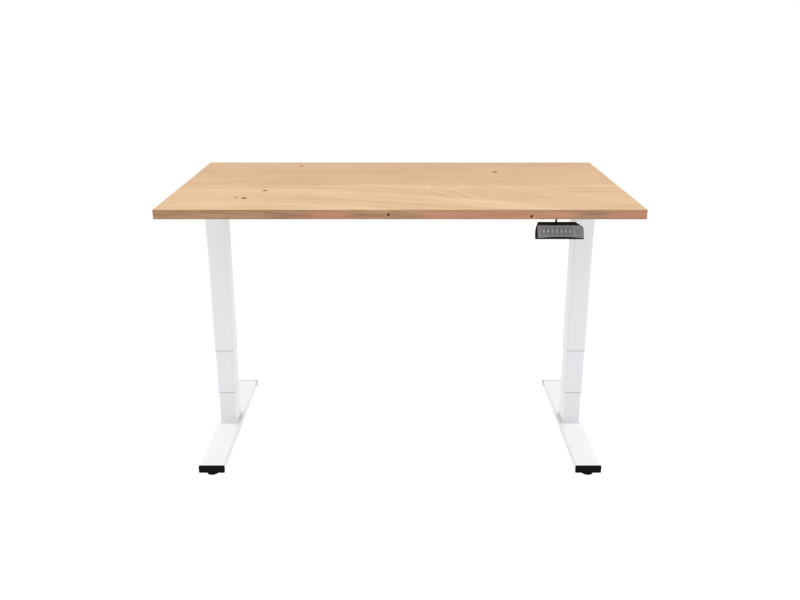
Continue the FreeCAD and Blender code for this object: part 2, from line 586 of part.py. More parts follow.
def handset():
    """Control panel at the front edge: shell with a slim neck, face plate, window, board and keys."""
    face_wide = "(hand_wide - hand_left_rim - hand_right_rim)"
    face_tall = "(hand_tall - hand_low_rim - hand_high_rim)"
    face_x = "((hand_left_rim - hand_right_rim) / 2)"
    face_z = "((hand_low_rim - hand_high_rim) / 2)"

    def face_outline(sketch, gap):
        """Outline of the face: upper right corner cut off, lower edge arched in short straight runs."""
        right, left = "%s + %s / 2 - %s" % (face_x, face_wide, gap), "%s - %s / 2 + %s" % (face_x, face_wide, gap)
        high, low = "%s + %s / 2 - %s" % (face_z, face_tall, gap), "%s - %s / 2 + %s" % (face_z, face_tall, gap)
        corners = [(left, low)]
        for part in (-0.5, 0, 0.5):
            corners.append(("%s + %s * %s / 2" % (face_x, part, face_wide),
                            "%s + hand_waist * %s" % (low, 1 - part ** 2)))
        corners += [(right, low), (right, high + " - hand_cut_tall"), (right + " - hand_cut_wide", high),
                    (left, high)]
        outline(sketch, corners)

    shell = doc.addObject("PartDesign::Body", "hand_shell")
    section = new_sketch(shell, "YZ_Plane", "hand_section")
    outline(section, [("0", "-hand_tall / 2"), ("hand_deep", "-hand_tall / 2 + hand_floor_rise"),
                      ("hand_deep", "hand_tall / 2 + hand_rise"), ("0", "hand_tall / 2")])
    pad(shell, section, "hand_wide", both_ways=True)
    corner = new_sketch(shell, "XZ_Plane", "hand_corner_cut")
    outline(corner, [("hand_wide / 2 + over", "hand_tall / 2 - hand_cut_tall"),
                     ("hand_wide / 2", "hand_tall / 2 - hand_cut_tall"),
                     ("hand_wide / 2 - hand_cut_wide", "hand_tall / 2"),
                     ("hand_wide / 2 - hand_cut_back", "hand_tall / 2 + hand_rise"),
                     ("hand_wide / 2 + over", "hand_tall / 2 + hand_rise")])
    pocket(shell, corner, "2 * hand_deep")
    waist = new_sketch(shell, "XZ_Plane", "hand_waist_cut")
    bow = "((hand_wide / 2)^2 / (2 * hand_waist))"
    circle(waist, bow, "0", "-hand_tall / 2 + hand_waist - " + bow)
    pocket(shell, waist, "2 * hand_deep")
    recess = new_sketch(shell, "XZ_Plane", "hand_recess")
    face_outline(recess, "0")
    pocket(shell, recess, "face_thick")
    hollow = new_sketch(shell, "XZ_Plane", "hand_hollow")
    face_outline(hollow, "hand_wall")
    pocket(shell, hollow, "hand_deep - hand_back_wall")
    in_handset(shell)

    def end_tool(name, radius, centre_z, long, low, tall):
        """What is cut away so that the left end follows an arc of that radius."""
        scrap = bind(doc.addObject("Part::Box", name + "_scrap"), Length=long, Width="hand_deep + 2 * over",
                     Height=tall)
        in_handset(scrap, "-hand_wide / 2 - over", "-over", low)
        arc = bind(doc.addObject("Part::Cylinder", name + "_arc"), Radius=radius, Height="hand_deep + 4 * over")
        in_handset(arc, "-hand_wide / 2 + " + radius, "-2 * over", centre_z)
        arc.setExpression("Placement.Rotation.Angle", sized("(hand_tilt + 90) * 1 deg"))
        return cut(name, scrap, [arc])

    bowed = cut("hand_bowed", shell,
                [end_tool("hand_end_bow", "hand_end_radius", "-hand_end_low", "hand_end_radius / 2",
                          "-hand_tall - hand_rise", "2 * (hand_tall + hand_rise)"),
                 end_tool("hand_end_foot", "hand_end_corner", "-hand_tall / 2 + hand_end_corner",
                          "hand_end_corner + over", "-hand_tall / 2 - over", "hand_end_corner + over")])
    neck = block("hand_neck", "neck_wide", "neck_deep", "hand_drop - hand_tall / 4",
                 "neck_x", "(-hand_y + hand_deep + neck_deep / 2 - neck_sink)",
                 underside + " - hand_drop + hand_tall / 4")
    ear = block("hand_ear", "ear_wide", "ear_deep", "ear_thick", "neck_x",
                "(-hand_y + hand_deep + ear_deep / 2 - neck_sink)", underside + " - ear_thick")
    holes = []
    for hand in ("-", "+"):
        x = "neck_x %s ear_screw_apart / 2" % hand
        y = "(-hand_y + hand_deep + ear_deep / 2 - neck_sink)"
        holes.append(rod("ear_hole%d" % len(holes), "wood_shank", "ear_thick + 2 * over", x, y,
                         underside + " - ear_thick - over"))
        wood_screw_at(x, y, underside + " - ear_thick")
    keep(cut("hand_whole", fuse("hand_joined", [bowed, neck, ear]), holes), "handset_housing")

    key_x = ["key_first + %d * key_pitch" % i for i in range(len(KEYS))]
    plate = doc.addObject("PartDesign::Body", "hand_face")
    around = new_sketch(plate, "XZ_Plane", "face_outline")
    face_outline(around, "face_gap")
    pad(plate, around, "face_thick", backwards=True)
    openings = new_sketch(plate, "XZ_Plane", "face_openings")
    for x in key_x:
        rectangle(openings, "key_wide + 2 * key_gap", "key_tall + 2 * key_gap", x, "key_z")
    rectangle(openings, "window_wide", "window_tall", "window_x", "window_z")
    pocket(plate, openings, "face_thick")
    keep(in_handset(plate), "handset_face")

    window = bind(doc.addObject("Part::Box", "hand_window"), Length="window_wide - 2 * face_gap",
                  Width="face_thick + window_behind", Height="window_tall - 2 * face_gap")
    keep(in_handset(window, "window_x - window_wide / 2 + face_gap", "0",
                    "window_z - window_tall / 2 + face_gap"), "handset_display")

    board = bind(doc.addObject("Part::Box", "hand_board"), Length="hand_board_wide", Width="board_thick",
                 Height="hand_board_tall")
    keep(in_handset(board, "%s - hand_board_wide / 2" % face_x, "hand_board_y", "key_z - hand_board_tall / 2"),
         "handset_board")

    for name, x in zip(KEYS, key_x):
        key = doc.addObject("PartDesign::Body", "key_" + name)
        top = new_sketch(key, "XZ_Plane", "key_%s_top" % name)
        rectangle(top, "key_wide", "key_tall")
        pad(key, top, "key_proud + face_thick + key_skirt_gap", backwards=True)
        round_off(key, "key_corner", (0, 1, 0))
        skirt = new_sketch(key, "XZ_Plane", "key_%s_skirt" % name)
        bind(skirt, **{"AttachmentOffset.Base.z": "-(key_proud + face_thick + key_skirt_gap)"})
        rectangle(skirt, "key_wide + 2 * key_skirt", "key_tall + 2 * key_skirt")
        pad(key, skirt, "key_skirt_thick", backwards=True)
        keep(in_handset(key, x, "-key_proud", "key_z"), name + "_key")


def table_top():
    """Oak board with eased edges and the pilot holes of every wood screw."""
    top = doc.addObject("PartDesign::Body", "top_board")
    plan = new_sketch(top, "XY_Plane", "top_plan")
    rectangle(plan, "top_width", "top_depth")
    pad(top, plan, "top_thick")
    round_off(top, "top_edge")
    pilots = new_sketch(top, "XY_Plane", "top_pilots")
    for x, y, seat in wood_points:
        circle(pilots, "wood_shank", x, y)
    pocket(top, pilots, "wood_bite", backwards=True)
    keep(place(top, "0", "0", underside), "table_top")


def wood_screws():
    screws = []
    for index, (x, y, seat) in enumerate(wood_points):
        shank = rod("wood_shank%d" % index, "wood_shank", "%s + wood_bite - %s" % (underside, seat), x, y, seat)
        head = rod("wood_head%d" % index, "wood_head", "wood_head_tall", x, y, seat + " - wood_head_tall")
        screws.append(fuse("wood_screw%d" % index, [shank, head]))
    keep(group("wood_screw_set", screws), "wood_screws")


bearings = []
for side, sign in LEGS:
    x = sign + "leg_spacing / 2"
    foot(side, x)
    column(side, x)
    bearings.append(drive(side, x))
    side_arm(side, x)
keep(group("bearing_pair", bearings), "screw_bearings")
foot_bolts()
frame_rails()
control_box()
handset()
table_top()
wood_screws()

doc.recompute()
for item in doc.Objects:
    if "Invalid" in item.State or "Error" in item.State:
        raise ValueError("%s is %s" % (item.Name, item.State))
for piece in finished:
    if piece.Shape.isNull() or not piece.Shape.isValid() or piece.Shape.Volume <= 0:
        raise ValueError("%s has no good shape" % piece.Label)
labels = [piece.Label for piece in finished]
if len(set(labels)) != len(labels) or len(labels) > 60:
    raise ValueError("the pieces' names are not right")

os.makedirs("parts", exist_ok=True)
for piece in finished:
    piece.Shape.exportStep("parts/%s.step" % piece.Label)
print(len(finished), "pieces")
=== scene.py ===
import bmesh
import bpy
import math
from mathutils import Matrix, Vector


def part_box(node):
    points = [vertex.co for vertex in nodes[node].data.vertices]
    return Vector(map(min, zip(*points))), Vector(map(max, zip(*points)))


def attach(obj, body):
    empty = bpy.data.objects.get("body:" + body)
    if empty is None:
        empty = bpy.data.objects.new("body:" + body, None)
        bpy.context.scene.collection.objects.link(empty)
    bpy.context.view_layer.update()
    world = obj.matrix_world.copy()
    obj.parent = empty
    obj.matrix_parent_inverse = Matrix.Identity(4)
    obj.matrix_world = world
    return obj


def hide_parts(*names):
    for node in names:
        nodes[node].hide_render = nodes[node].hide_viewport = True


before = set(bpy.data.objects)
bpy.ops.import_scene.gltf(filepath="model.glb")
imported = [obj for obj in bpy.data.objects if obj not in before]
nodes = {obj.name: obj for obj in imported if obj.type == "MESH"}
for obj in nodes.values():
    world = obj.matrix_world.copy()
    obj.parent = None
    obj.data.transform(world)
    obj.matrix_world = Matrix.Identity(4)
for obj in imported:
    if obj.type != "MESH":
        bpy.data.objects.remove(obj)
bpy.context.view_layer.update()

# ---- view, lamps and floor ----------------------------------------------------------------------
# A person stands nearly three metres in front of the desk, eyes well above its top, in a white
# studio. Two wide lamps hang high, out past the ends of the top, so that they reach the feet too, and
# two more stand far past its ends, low, and light the inner sides of the legs.

EYE_HEIGHT = 1.41808
EYE_DISTANCE = 2.80955
LOOK_DOWN = math.radians(18.507)
LENS = 39.161

camera_data = bpy.data.cameras.new("eye")
camera_data.lens = LENS
camera_data.sensor_width = 36
camera_data.clip_end = 200
camera = bpy.data.objects.new("eye", camera_data)
camera.location = (0, -EYE_DISTANCE, EYE_HEIGHT)
camera.rotation_euler = (math.pi / 2 - LOOK_DOWN, 0, 0)
bpy.context.scene.collection.objects.link(camera)
bpy.context.scene.camera = camera
bpy.context.scene.view_settings.view_transform = "Standard"


def lamp(name, place, target, size, power):
    """A square soft lamp that points at a place."""
    data = bpy.data.lights.new(name, "AREA")
    data.energy = power
    data.size = size
    item = bpy.data.objects.new(name, data)
    item.location = place
    item.rotation_euler = (Vector(target) - Vector(place)).to_track_quat("-Z", "Y").to_euler()
    bpy.context.scene.collection.objects.link(item)


for name, hand in (("left", -1), ("right", 1)):
    lamp(name + "_high", (1.5 * hand, -0.1, 3.0), (0.5 * hand, 0, 0.3), 0.9, 45)
    lamp(name + "_low", (6 * hand, 1.2, 1.2), (0, 0, 0.4), 2.0, 48)

ROOM_LIGHT = 0.72
room = bpy.data.worlds.new("white_room")
room.use_nodes = True
room_tree = room.node_tree
glow = room_tree.nodes["Background"]
glow.inputs["Color"].default_value = (1, 1, 1, 1)
glow.inputs["Strength"].default_value = ROOM_LIGHT
white_wall = room_tree.nodes.new("ShaderNodeBackground")
white_wall.inputs["Strength"].default_value = 1.0
white_wall.inputs["Color"].default_value = (1, 1, 1, 1)
straight_on = room_tree.nodes.new("ShaderNodeLightPath")
either = room_tree.nodes.new("ShaderNodeMixShader")
room_tree.links.new(straight_on.outputs["Is Camera Ray"], either.inputs[0])
room_tree.links.new(glow.outputs[0], either.inputs[1])
room_tree.links.new(white_wall.outputs[0], either.inputs[2])
room_tree.links.new(either.outputs[0], room_tree.nodes["World Output"].inputs["Surface"])
bpy.context.scene.world = room


def shade(red, green, blue):
    """A colour given as it looks on a screen, 0 to 255, in the form that shaders take."""
    parts = [channel / 255 for channel in (red, green, blue)]
    return tuple(p / 12.92 if p < 0.04 else ((p + 0.055) / 1.055) ** 2.4 for p in parts) + (1.0,)


class Flow:
    """An output socket in a material. Sums on it add Math nodes, and node() adds any other node."""

    def __init__(self, tree, socket=None):
        self.tree = tree
        self.socket = socket

    def node(self, kind, settings=None, inputs=None, out=0):
        node = self.tree.nodes.new("ShaderNode" + kind)
        for name, value in (settings or {}).items():
            if name == "stops":
                while len(node.color_ramp.elements) < len(value):
                    node.color_ramp.elements.new(0.5)
                for element, (position, colour) in zip(node.color_ramp.elements, value):
                    element.position = position
                    element.color = colour
            else:
                setattr(node, name, value)
        for name, value in (inputs or {}).items():
            if isinstance(value, Flow):
                self.tree.links.new(value.socket, node.inputs[name])
            else:
                node.inputs[name].default_value = value
        return Flow(self.tree, node.outputs[out])

    def math(self, operation, first, second=0.0):
        return self.node("Math", {"operation": operation}, {0: first, 1: second})

    def __add__(self, other):
        return self.math("ADD", self, other)

    def __radd__(self, other):
        return self.math("ADD", other, self)

    def __sub__(self, other):
        return self.math("SUBTRACT", self, other)

    def __rsub__(self, other):
        return self.math("SUBTRACT", other, self)

    def __mul__(self, other):
        return self.math("MULTIPLY", self, other)

    def __rmul__(self, other):
        return self.math("MULTIPLY", other, self)

    def rise(self, low, high):
        """0 below low, 1 above high, and a smooth rise between them."""
        return self.node("MapRange", {"interpolation_type": "SMOOTHSTEP"},
                         {"Value": self, "From Min": low, "From Max": high})

    def within(self, low, high, soft):
        """1 between low and high, 0 outside, with soft borders."""
        return self.rise(low - soft, low + soft) * (1 - self.rise(high - soft, high + soft))

    def stretch(self, *scale):
        return self.node("VectorMath", {"operation": "MULTIPLY"}, {0: self, 1: scale})

    def axis(self, letter):
        return self.node("SeparateXYZ", inputs={"Vector": self}, out=letter)

    def noise(self, scale, detail=3.0, roughness=0.5):
        return self.node("TexNoise", {}, {"Vector": self, "Scale": scale, "Detail": detail,
                                          "Roughness": roughness})

    def mix(self, factor, first, second, blend_type="MIX"):
        """One colour turning into another."""
        return self.node("Mix", {"data_type": "RGBA", "blend_type": blend_type},
                         {0: factor, 6: first, 7: second}, out=2)

    def bump(self, height, distance, strength=1.0):
        return self.node("Bump", {}, {"Height": height, "Distance": distance, "Strength": strength},
                         out="Normal")


def new_finish(name, **fixed):
    """A finish, and the position on the object that its pattern reads. fixed: what is the same all over."""
    finish = bpy.data.materials.new(name)
    finish.use_nodes = True
    shader = finish.node_tree.nodes["Principled BSDF"]
    for socket, value in fixed.items():
        shader.inputs[socket.replace("_", " ")].default_value = value
    return finish, Flow(finish.node_tree).node("TexCoord", out="Object")


def varies(finish, **flows):
    """Feed the sockets of a finish that change over the surface."""
    shader = finish.node_tree.nodes["Principled BSDF"]
    for socket, flow in flows.items():
        finish.node_tree.links.new(flow.socket, shader.inputs[socket.replace("_", " ")])


def coat(finish, *names):
    """Give CAD nodes a finish."""
    for name in names:
        nodes[name].data.materials.clear()
        nodes[name].data.materials.append(finish)


def solid(name, bm, finish):
    """Turn a finished bmesh into an object of the scene."""
    bmesh.ops.recalc_face_normals(bm, faces=bm.faces)
    mesh = bpy.data.meshes.new(name)
    bm.to_mesh(mesh)
    bm.free()
    mesh.materials.append(finish)
    piece = bpy.data.objects.new(name, mesh)
    bpy.context.scene.collection.objects.link(piece)
    return piece


FLOOR_REACH = 60
floor_paint, spot = new_finish("pale_floor", Roughness=0.95, Specular_IOR_Level=0.0,
                               Emission_Color=(1, 1, 1, 1), Emission_Strength=0.84)
varies(floor_paint, Base_Color=spot.mix(spot.noise(0.6), shade(148, 148, 149), shade(152, 152, 152)))
# the floor can be seen through from below, so that the underside of the desk shows
floor_tree = floor_paint.node_tree
clear_from_below = floor_tree.nodes.new("ShaderNodeMixShader")
floor_tree.links.new(floor_tree.nodes.new("ShaderNodeNewGeometry").outputs["Backfacing"],
                     clear_from_below.inputs[0])
floor_tree.links.new(floor_tree.nodes["Principled BSDF"].outputs[0], clear_from_below.inputs[1])
floor_tree.links.new(floor_tree.nodes.new("ShaderNodeBsdfTransparent").outputs[0],
                     clear_from_below.inputs[2])
floor_tree.links.new(clear_from_below.outputs[0], floor_tree.nodes["Material Output"].inputs["Surface"])
bm = bmesh.new()
bmesh.ops.create_grid(bm, x_segments=1, y_segments=1, size=FLOOR_REACH)
solid("floor", bm, floor_paint)

# ---- table top ----------------------------------------------------------------------------------
# A 28 mm board glued up from two wide oak planks, oiled. The front plank is the paler one, with a
# pointed figure right of its middle; the rear one is calm and pinker. The sawn edges are browner.

low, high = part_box("table_top")
GLUE_LINE = -0.033
GLUE_BLUR = 0.0006
KNOT_STRETCH = 0.85
KNOTS = (
    (-0.490, -0.232, high.z, 0.0058), (-0.466, -0.239, high.z, 0.0092), (-0.421, -0.125, high.z, 0.0080),
    (-0.354, 0.321, high.z, 0.0078), (0.330, 0.199, high.z, 0.0102),
    (-0.032, low.y, high.z - 0.014, 0.0042), (0.373, low.y, high.z - 0.019, 0.0042),
)
FIGURE_CENTRE = (0.500, -0.305, high.z)
FIGURE_SIZE = (0.42, 0.12, 0.3)
FIGURE_TURN = math.radians(-33)
SAWN_TONE_CHANGE = -0.19

oak_oil, spot = new_finish("oiled_oak", Specular_IOR_Level=0.3)
across = spot.axis("Y")
rear = across.rise(GLUE_LINE - GLUE_BLUR, GLUE_LINE + GLUE_BLUR)
facing_up = spot.math("ABSOLUTE", spot.node("NewGeometry", out="Normal").axis("Z"))
sawn = 1 - facing_up.rise(0.2, 0.85)

# grain: straight on the rear plank, and drifting off line near the middle of the front one
drift = spot.axis("X").rise(-0.42, 0.48) * (1 - rear) * (1 - sawn) * 0.2
waves = spot.stretch(0.9, 3.2, 3.2).noise(1.4, 2.0)
shift = spot.node("CombineXYZ", inputs={"X": rear * 3.7, "Y": waves * 0.10 + drift, "Z": waves * 0.04})
bent = spot.node("VectorMath", {"operation": "ADD"}, {0: spot, 1: shift})
streaks = bent.stretch(1.3, 34, 34).noise(1.0, 5.0, 0.62)
fibres = bent.stretch(7, 420, 420).noise(1.0, 4.0, 0.65)
pores = bent.stretch(22, 1500, 1500).noise(1.0, 2.0, 0.5).rise(0.60, 0.74)
patches = bent.stretch(2.4, 5.0, 5.0).noise(1.3, 3.0)
blush = bent.stretch(4.5, 14.0, 14.0).noise(1.0, 2.0).rise(0.50, 0.68)
straw = spot.stretch(5.0, 16.0, 16.0).noise(1.7, 2.0).rise(0.52, 0.70)

front_tone = streaks * 0.62 + fibres * 0.14 + patches * 0.38
front_oak = spot.node("ValToRGB", {"stops": [(0.38, shade(162, 131, 96)), (0.52, shade(175, 144, 108)),
                                             (0.62, shade(181, 152, 117)), (0.76, shade(191, 165, 130))]},
                      {"Fac": front_tone})
rear_tone = streaks * 0.42 + fibres * 0.14 + patches * 0.55
rear_oak = spot.node("ValToRGB", {"stops": [(0.36, shade(159, 128, 95)), (0.52, shade(169, 139, 104)),
                                            (0.62, shade(173, 143, 109)), (0.78, shade(179, 152, 118))]},
                     {"Fac": rear_tone})
oak = spot.mix(rear, front_oak, rear_oak)
oak = spot.mix(blush * (0.28 + rear * 0.12), oak, shade(178, 140, 112))
oak = spot.mix(straw * 0.34, oak, shade(173, 150, 108))

# figure: nested pointed arcs that open towards the right
from_figure = spot.node("Mapping", {"vector_type": "TEXTURE"},
                        {"Vector": spot, "Location": FIGURE_CENTRE, "Rotation": (0, 0, FIGURE_TURN),
                         "Scale": FIGURE_SIZE})
ring = spot.node("VectorMath", {"operation": "LENGTH"}, {0: from_figure}, out="Value")
ring = ring + spot.stretch(4, 12, 12).noise(1.0, 3.0) * 0.5
upright = (1 - rear) * (1 - sawn)
arcs = spot.math("SINE", ring * 24.0).rise(0.35, 0.98)
near_figure = ring.rise(0.75, 0.95) * (1 - ring.rise(1.3, 1.9)) * (1 - from_figure.axis("X").rise(-0.1, 0.45))
oak = spot.mix(arcs * near_figure * upright * 0.4, oak, shade(199, 172, 138))
heartwood = (1 - ring.rise(0.75, 1.35)) * upright
oak = spot.mix(heartwood * 0.42, oak, shade(172, 140, 105))

# open pores and the glue line
oak = spot.mix(pores * 0.2, oak, shade(123, 94, 62))
seam = 1 - spot.math("ABSOLUTE", across - GLUE_LINE).rise(0.0004, 0.0016)
oak = spot.mix(seam * 0.3, oak, shade(136, 105, 76))

# sawn edges: slanting figure, pinker on the right, darker along both arrises
slanting = spot.node("CombineXYZ", inputs={"X": spot.axis("X") * 6.0 + spot.axis("Z") * 34.0,
                                           "Y": across, "Z": spot.axis("Z") * 60.0})
figure_on_edge = slanting.noise(1.0, 4.0, 0.65)
edge_browns = spot.node("ValToRGB", {"stops": [(0.34, shade(150, 117, 87)), (0.46, shade(168, 130, 98)),
                                               (0.56, shade(184, 143, 107)), (0.68, shade(204, 163, 123))]},
                        {"Fac": figure_on_edge})
pinker = (spot.axis("X") + figure_on_edge * 0.5).rise(SAWN_TONE_CHANGE, SAWN_TONE_CHANGE + 0.25)
pinker = pinker * spot.stretch(5.0, 1, 20).noise(1.0, 2.0).rise(0.40, 0.56)
edge_browns = spot.mix(pinker * 0.6, edge_browns, shade(200, 138, 112))
arris = spot.math("ABSOLUTE", spot.axis("Z") - (low.z + high.z) / 2).rise(0.0108, 0.0134)
edge_browns = spot.mix(arris * 0.65, edge_browns, shade(122, 92, 66))
oak = spot.mix(sawn, oak, edge_browns)

# knots: a dark heart in a reddish halo, drawn out a little along the grain
ragged = spot.node("CombineXYZ", inputs={"X": fibres * 0.002, "Y": fibres * 0.002})
squeezed = spot.node("VectorMath", {"operation": "ADD"}, {0: spot.stretch(1 / KNOT_STRETCH, 1, 1), 1: ragged})
hearts = None
for x, y, z, size in KNOTS:
    away = spot.node("VectorMath", {"operation": "DISTANCE"}, {0: squeezed, 1: (x / KNOT_STRETCH, y, z)},
                     out="Value")
    halo = 1 - away.rise(size * 0.9, size * 4.0)
    oak = spot.mix(halo * 0.35, oak, shade(196, 146, 108))
    heart = 1 - away.rise(size * 0.8, size * 1.3)
    oak = spot.mix(heart, oak, shade(58, 30, 12))
    hearts = heart if hearts is None else hearts + heart
relief = fibres * 0.5 + streaks * 0.5 - pores * 0.8 - hearts * 1.5 - seam * 0.6
varies(oak_oil, Base_Color=oak, Roughness=0.5 + fibres * 0.16 + hearts * 0.2,
       Normal=spot.bump(relief, 0.00012, 0.6))


def joined_copy(node):
    """A CAD node's shape as a bmesh, its loose triangles joined into whole faces."""
    bm = bmesh.new()
    bm.from_mesh(nodes[node].data)
    bmesh.ops.remove_doubles(bm, verts=bm.verts, dist=1e-6)
    bmesh.ops.dissolve_limit(bm, angle_limit=math.radians(1), verts=bm.verts, edges=bm.edges)
    return bm


def round_over(bm, edges, width, segments=2):
    """Round some edges."""
    bmesh.ops.bevel(bm, geom=edges, offset=width, offset_type="OFFSET", affect="EDGES", segments=segments,
                    profile=0.5, material=-1, clamp_overlap=True)


def ease(bm, width, sharp=35):
    """Round every edge at which the faces turn by more than an angle in degrees."""
    round_over(bm, [edge for edge in bm.edges
                    if len(edge.link_faces) == 2 and edge.calc_face_angle(0) > math.radians(sharp)], width)


def stand_in(piece, node, body):
    """The piece takes the place of a CAD node and moves with its body."""
    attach(piece, body)
    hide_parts(node)


BOARD_ARRIS = 0.0008
bm = bmesh.new()
bm.from_mesh(nodes["table_top"].data)
bmesh.ops.remove_doubles(bm, verts=bm.verts, dist=1e-6)
outside = [edge for edge in bm.edges if edge.calc_face_angle(0) > math.radians(60)
           and all(min(v.co.x - low.x, high.x - v.co.x, v.co.y - low.y, high.y - v.co.y) < 1e-5
                   for v in edge.verts)]
round_over(bm, outside, BOARD_ARRIS)
stand_in(solid("oak_board", bm, oak_oil), "table_top", "top")

# ---- steel parts --------------------------------------------------------------------------------
# Feet, column tubes, base plates, side arms and rails are folded or welded steel under one fine white
# powder coat, which has a faint orange-peel skin.

LEGS = ("left", "right")
powder, spot = new_finish("white_powder_coat", Specular_IOR_Level=0.35)
peel = spot.noise(620.0, 2.0, 0.6)
powder_tone = spot.mix(spot.noise(3.0, 2.0), shade(230, 232, 235), shade(233, 235, 238))
varies(powder, Base_Color=powder_tone, Roughness=0.42 + peel * 0.12, Normal=spot.bump(peel, 0.00004, 0.5))
for side in LEGS:
    coat(powder, *[side + part for part in ("_foot_beam", "_base_plate", "_inner_tube", "_middle_tube",
                                            "_outer_tube", "_side_arm")])
coat(powder, "front_rail", "rear_rail")

# ---- guides and nuts ----------------------------------------------------------------------------
# Guides of pale grey acetal slide between the tubes; the rim of each shows as a thin line under its
# tube, and their grey is kept darker than the coat so that this line also stands in for the shadow gap
# under the tube, partly painted shade. The nuts on the lift screws are milky acetal.

# painted shade, in part: the guides' grey is darker than the white coat so that their rims draw the
# shadow-gap line under each tube
acetal, spot = new_finish("grey_acetal_gap_shade", Specular_IOR_Level=0.4)
grain = spot.noise(900.0, 2.0)
varies(acetal, Base_Color=spot.mix(spot.noise(40.0), shade(176, 177, 180), shade(184, 185, 188)),
       Roughness=0.5 + grain * 0.15, Normal=spot.bump(grain, 0.00003, 0.5))
milky, spot = new_finish("milky_acetal", Specular_IOR_Level=0.45)
grain = spot.noise(700.0, 2.0)
varies(milky, Base_Color=spot.mix(spot.noise(30.0), shade(228, 226, 216), shade(236, 234, 226)),
       Roughness=0.38 + grain * 0.15, Normal=spot.bump(grain, 0.00003, 0.5))
for side in LEGS:
    coat(acetal, *[side + part for part in ("_inner_guide", "_middle_guides", "_outer_guide")])
    coat(milky, side + "_lower_nut", side + "_upper_nut")

# ---- foot caps and glides -----------------------------------------------------------------------
# Each end of a foot is closed by a black moulded cap with rounded edges and a shallow sunk panel.
# Near it a round black glide stands under the foot on a threaded stud.

polymer, spot = new_finish("black_polymer", Specular_IOR_Level=0.06)
grit = spot.noise(1800.0, 2.0, 0.6)
varies(polymer, Base_Color=spot.mix(spot.noise(9.0, 2.0), shade(9, 9, 10), shade(14, 14, 15)),
       Roughness=0.46 + grit * 0.2, Normal=spot.bump(grit, 0.00006, 0.6))

CAP_ROUND = 0.0012
CAP_FRAME = 0.0030
CAP_SUNK = 0.0008
GLIDE_ROUND = 0.0006
for side in LEGS:
    bm = joined_copy(side + "_foot_caps")
    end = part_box(side + "_foot_caps")[1].y
    outer = [face for face in bm.faces if abs(abs(face.normal.y) - 1) < 1e-3
             and abs(abs(face.calc_center_median().y) - end) < 1e-5]
    bmesh.ops.inset_individual(bm, faces=outer, thickness=CAP_FRAME)
    bmesh.ops.inset_individual(bm, faces=outer, thickness=CAP_SUNK, depth=-CAP_SUNK)
    rim = [edge for edge in bm.edges if all(abs(abs(v.co.y) - end) < 1e-5 for v in edge.verts)
           and edge.calc_face_angle(0) > math.radians(60)]
    round_over(bm, rim, CAP_ROUND, segments=3)
    stand_in(solid(side + "_foot_cap_pair", bm, polymer), side + "_foot_caps", "base")
    for end in ("front", "rear"):
        glide = "%s_%s_glide" % (side, end)
        bm = joined_copy(glide)
        ease(bm, GLIDE_ROUND, sharp=50)
        stand_in(solid(glide + "_pad", bm, polymer), glide, "%s_%s_foot" % (side, end))

# ---- lift drive ---------------------------------------------------------------------------------
# A die-cast gear head sits on each column, and inside it an acetal worm wheel on the steel lift screw.
# The motor beside it is a dark painted can. Foot bolts and wood screws are zinc plated.

cast, spot = new_finish("die_cast_alloy", Metallic=0.85)
grit = spot.noise(900.0, 4.0, 0.7)
varies(cast, Base_Color=spot.mix(spot.noise(14.0, 3.0), shade(150, 152, 155), shade(172, 174, 177)),
       Roughness=0.5 + grit * 0.2, Normal=spot.bump(grit, 0.0001, 0.7))
can_paint, spot = new_finish("dark_can_paint", Specular_IOR_Level=0.45)
grit = spot.noise(1200.0, 2.0)
varies(can_paint, Base_Color=spot.mix(spot.noise(10.0, 2.0), shade(36, 37, 39), shade(44, 45, 47)),
       Roughness=0.34 + grit * 0.16, Normal=spot.bump(grit, 0.00003, 0.5))
turned, spot = new_finish("turned_steel", Metallic=1.0)
marks = spot.stretch(1, 1, 60).noise(60.0, 3.0)
varies(turned, Base_Color=spot.mix(marks, shade(168, 170, 174), shade(196, 198, 201)),
       Roughness=0.22 + marks * 0.18, Normal=spot.bump(marks, 0.00003, 0.6))
zinc, spot = new_finish("zinc_plate", Metallic=1.0)
cloud = spot.noise(160.0, 3.0)
varies(zinc, Base_Color=spot.mix(cloud, shade(176, 180, 186), shade(202, 204, 206)),
       Roughness=0.3 + cloud * 0.2, Normal=spot.bump(cloud, 0.00003, 0.4))
CAST_ROUND = 0.0008
for side in LEGS:
    for part, finish, slot in (("_gear_housing", cast, "cast_housing"), ("_motor", can_paint, "motor_can")):
        bm = joined_copy(side + part)
        ease(bm, CAST_ROUND, sharp=50)
        stand_in(solid(side + part + "_eased", bm, finish), side + part, "top")
    coat(turned, *[side + part for part in ("_lower_screw", "_upper_screw", "_motor_worm")])
    coat(milky, side + "_worm_wheel")
coat(turned, "screw_bearings")
coat(zinc, "foot_bolts", "wood_screws")

# ---- control box --------------------------------------------------------------------------------
# The power supply is a black moulded box screwed up under the top. The board in it is green laminate
# with pale tracks, and the parts that stand up from it are black.

board_green, spot = new_finish("circuit_board", Specular_IOR_Level=0.5)
BOARD_FACE = 0.0046
BOX_ROUND = 0.0005
board_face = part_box("control_board")[0].z + BOARD_FACE
parts_above = spot.axis("Z").rise(board_face, board_face + 0.0002)
tracks = spot.stretch(260, 60, 1).noise(1.0, 1.0).rise(0.52, 0.56)
laminate = spot.mix(tracks, shade(18, 74, 44), shade(34, 104, 62))
varies(board_green, Base_Color=spot.mix(parts_above, laminate, shade(30, 30, 31)),
       Roughness=0.35 + tracks * 0.1)
coat(board_green, "control_board", "handset_board")
for part in ("lid", "tray"):
    bm = joined_copy("control_" + part)
    ease(bm, BOX_ROUND, sharp=50)
    stand_in(solid("control_%s_eased" % part, bm, polymer), "control_" + part, "top")

# ---- handset ------------------------------------------------------------------------------------
# A black moulded shell hangs under the front edge on a slim neck and leans back. Its grey satin face
# carries seven tall keys with pale printed signs on a darker field, and a small display at the right.

